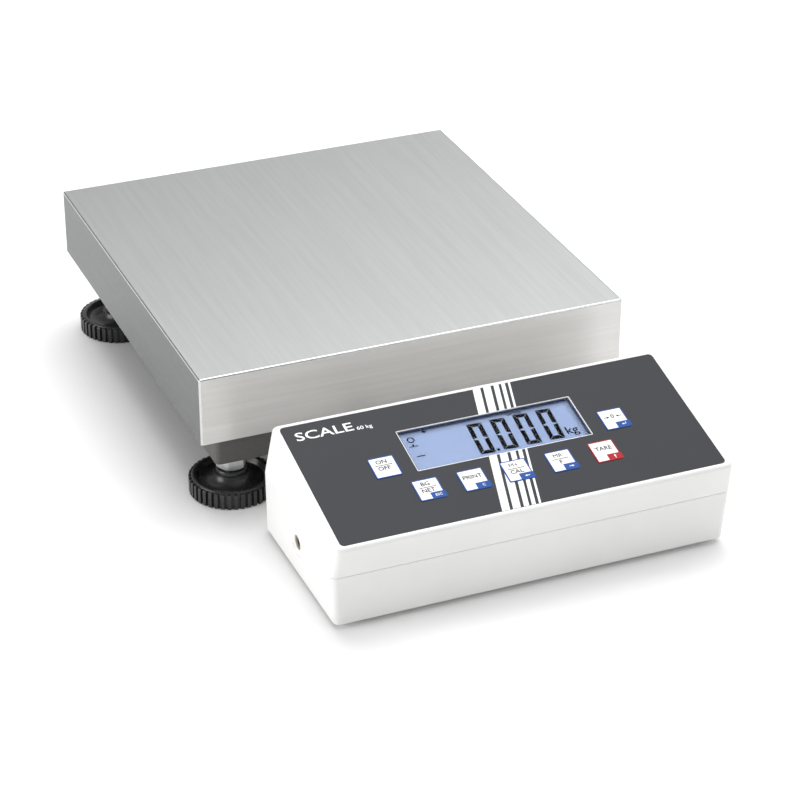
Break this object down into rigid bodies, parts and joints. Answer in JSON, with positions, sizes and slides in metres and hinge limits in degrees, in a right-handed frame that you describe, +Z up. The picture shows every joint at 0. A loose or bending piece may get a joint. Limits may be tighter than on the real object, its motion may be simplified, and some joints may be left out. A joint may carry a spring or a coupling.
{
  "type": "counting scale",
  "caption": "Low bench scale with a square lift-off weighing plate on levelling feet and a separate sloped indicator with a display and keypad.",
  "frame": {"origin": "middle of the whole object's box, on the surface it stands on", "axes": "+X to the user's right, +Y from the indicator back to the platform, +Z up"},
  "size_m": [0.3082, 0.4814, 0.1044],
  "materials": {
    "stainless": "brushed stainless sheet, brush lines front to back on top",
    "powder_coat": "dark grey speckled powder coat",
    "black_plastic": "moulded black plastic",
    "zinc_steel": "zinc-plated steel",
    "aluminium": "milled aluminium",
    "black_rubber": "moulded rubber",
    "level_glass": "clear vial with yellow-green fluid",
    "case_plastic": "fine-textured white plastic",
    "overlay_foil": "dark grey printed foil, satin",
    "key_foil": "white printed foil, satin",
    "window_foil": "clear window",
    "lcd_glass": "blue back-lit display",
    "circuit_board": "green solder mask",
    "brass": "turned brass"
  },
  "bodies": {
    "base": {"base_frame": "powder_coat", "load_cell": "aluminium", "lower_spacer": "zinc_steel", "lower_bolt_inner": "zinc_steel", "lower_bolt_outer": "zinc_steel", "level_housing": "black_plastic", "level_vial": "level_glass", "base_cable_gland": "black_plastic", "foot_nut_front_left": "zinc_steel", "foot_nut_front_right": "zinc_steel", "foot_nut_rear_left": "zinc_steel", "foot_nut_rear_right": "zinc_steel", "overload_stop_front_left": "zinc_steel", "overload_stop_front_right": "zinc_steel", "overload_stop_rear_left": "zinc_steel", "overload_stop_rear_right": "zinc_steel"},
    "carrier": {"carrier_plate": "zinc_steel", "upper_spacer": "zinc_steel", "upper_bolt_inner": "zinc_steel", "upper_bolt_outer": "zinc_steel", "plate_buffer_front_left": "black_rubber", "plate_buffer_front_right": "black_rubber", "plate_buffer_rear_left": "black_rubber", "plate_buffer_rear_right": "black_rubber"},
    "plate": {"weighing_plate": "stainless"},
    "stud_front_left": {"foot_stud_front_left": "zinc_steel"},
    "pad_front_left": {"foot_pad_front_left": "black_plastic"},
    "stud_front_right": {"foot_stud_front_right": "zinc_steel"},
    "pad_front_right": {"foot_pad_front_right": "black_plastic"},
    "stud_rear_left": {"foot_stud_rear_left": "zinc_steel"},
    "pad_rear_left": {"foot_pad_rear_left": "black_plastic"},
    "stud_rear_right": {"foot_stud_rear_right": "zinc_steel"},
    "pad_rear_right": {"foot_pad_rear_right": "black_plastic"},
    "indicator": {"lower_shell": "case_plastic", "upper_shell": "case_plastic", "keypad_overlay": "overlay_foil", "lcd_window": "window_foil", "lcd_module": "lcd_glass", "display_board": "circuit_board", "main_board": "circuit_board", "power_jack": "black_plastic", "data_port": "zinc_steel", "indicator_cable_gland": "black_plastic", "indicator_foot_front_left": "black_rubber", "indicator_foot_front_right": "black_rubber", "indicator_foot_rear_left": "black_rubber", "indicator_foot_rear_right": "black_rubber", "case_screw_front_left": "zinc_steel", "case_screw_front_right": "zinc_steel", "case_screw_rear_left": "zinc_steel", "case_screw_rear_right": "zinc_steel", "side_insert_left": "brass", "side_insert_right": "brass"},
    "key_on_off": {"key_on_off": "key_foil"},
    "key_gross_net": {"key_gross_net": "key_foil"},
    "key_print": {"key_print": "key_foil"},
    "key_memory_add": {"key_memory_add": "key_foil"},
    "key_memory_recall": {"key_memory_recall": "key_foil"},
    "key_tare": {"key_tare": "key_foil"},
    "key_zero": {"key_zero": "key_foil"}
  },
  "joints": [
    {"name": "load_deflection", "type": "slide", "parent": "base", "child": "carrier", "axis": [0, 0, -1], "range_m": [0, 0.0003], "stiffness_N_per_m": 400000, "springref_m": -0.00009},
    {"name": "plate_lift", "type": "slide", "parent": "carrier", "child": "plate", "axis": [0, 0, 1], "range_m": [0, 0.12]},
    {"name": "foot_height_front_left", "type": "slide", "parent": "base", "child": "stud_front_left", "axis": [0, 0, -1], "range_m": [0, 0.00875]},
    {"name": "foot_turn_front_left", "type": "hinge", "parent": "stud_front_left", "child": "pad_front_left", "pos_m": [-0.1247, -0.04628, 0], "axis": [0, 0, -1], "range_deg": [0, 1800]},
    {"name": "foot_height_front_right", "type": "slide", "parent": "base", "child": "stud_front_right", "axis": [0, 0, -1], "range_m": [0, 0.00875]},
    {"name": "foot_turn_front_right", "type": "hinge", "parent": "stud_front_right", "child": "pad_front_right", "pos_m": [0.1229, -0.04628, 0], "axis": [0, 0, -1], "range_deg": [0, 1800]},
    {"name": "foot_height_rear_left", "type": "slide", "parent": "base", "child": "stud_rear_left", "axis": [0, 0, -1], "range_m": [0, 0.00875]},
    {"name": "foot_turn_rear_left", "type": "hinge", "parent": "stud_rear_left", "child": "pad_rear_left", "pos_m": [-0.1247, 0.21132, 0], "axis": [0, 0, -1], "range_deg": [0, 1800]},
    {"name": "foot_height_rear_right", "type": "slide", "parent": "base", "child": "stud_rear_right", "axis": [0, 0, -1], "range_m": [0, 0.00875]},
    {"name": "foot_turn_rear_right", "type": "hinge", "parent": "stud_rear_right", "child": "pad_rear_right", "pos_m": [0.1229, 0.21132, 0], "axis": [0, 0, -1], "range_deg": [0, 1800]},
    {"name": "indicator_slide", "type": "slide", "parent": "base", "child": "indicator", "axis": [0, -1, 0], "range_m": [0, 0.4]},
    {"name": "press_on_off", "type": "slide", "parent": "indicator", "child": "key_on_off", "axis": [0, 0.225, -0.9744], "range_m": [0, 0.0004], "stiffness_N_per_m": 7500},
    {"name": "press_gross_net", "type": "slide", "parent": "indicator", "child": "key_gross_net", "axis": [0, 0.225, -0.9744], "range_m": [0, 0.0004], "stiffness_N_per_m": 7500},
    {"name": "press_print", "type": "slide", "parent": "indicator", "child": "key_print", "axis": [0, 0.225, -0.9744], "range_m": [0, 0.0004], "stiffness_N_per_m": 7500},
    {"name": "press_memory_add", "type": "slide", "parent": "indicator", "child": "key_memory_add", "axis": [0, 0.225, -0.9744], "range_m": [0, 0.0004], "stiffness_N_per_m": 7500},
    {"name": "press_memory_recall", "type": "slide", "parent": "indicator", "child": "key_memory_recall", "axis": [0, 0.225, -0.9744], "range_m": [0, 0.0004], "stiffness_N_per_m": 7500},
    {"name": "press_tare", "type": "slide", "parent": "indicator", "child": "key_tare", "axis": [0, 0.225, -0.9744], "range_m": [0, 0.0004], "stiffness_N_per_m": 7500},
    {"name": "press_zero", "type": "slide", "parent": "indicator", "child": "key_zero", "axis": [0, 0.225, -0.9744], "range_m": [0, 0.0004], "stiffness_N_per_m": 7500}
  ],
  "couplings": [
    {"joint": "foot_height_front_left", "follows": "foot_turn_front_left", "m_per_rad": 0.00027852},
    {"joint": "foot_height_front_right", "follows": "foot_turn_front_right", "m_per_rad": 0.00027852},
    {"joint": "foot_height_rear_left", "follows": "foot_turn_rear_left", "m_per_rad": 0.00027852},
    {"joint": "foot_height_rear_right", "follows": "foot_turn_rear_right", "m_per_rad": 0.00027852}
  ]
}
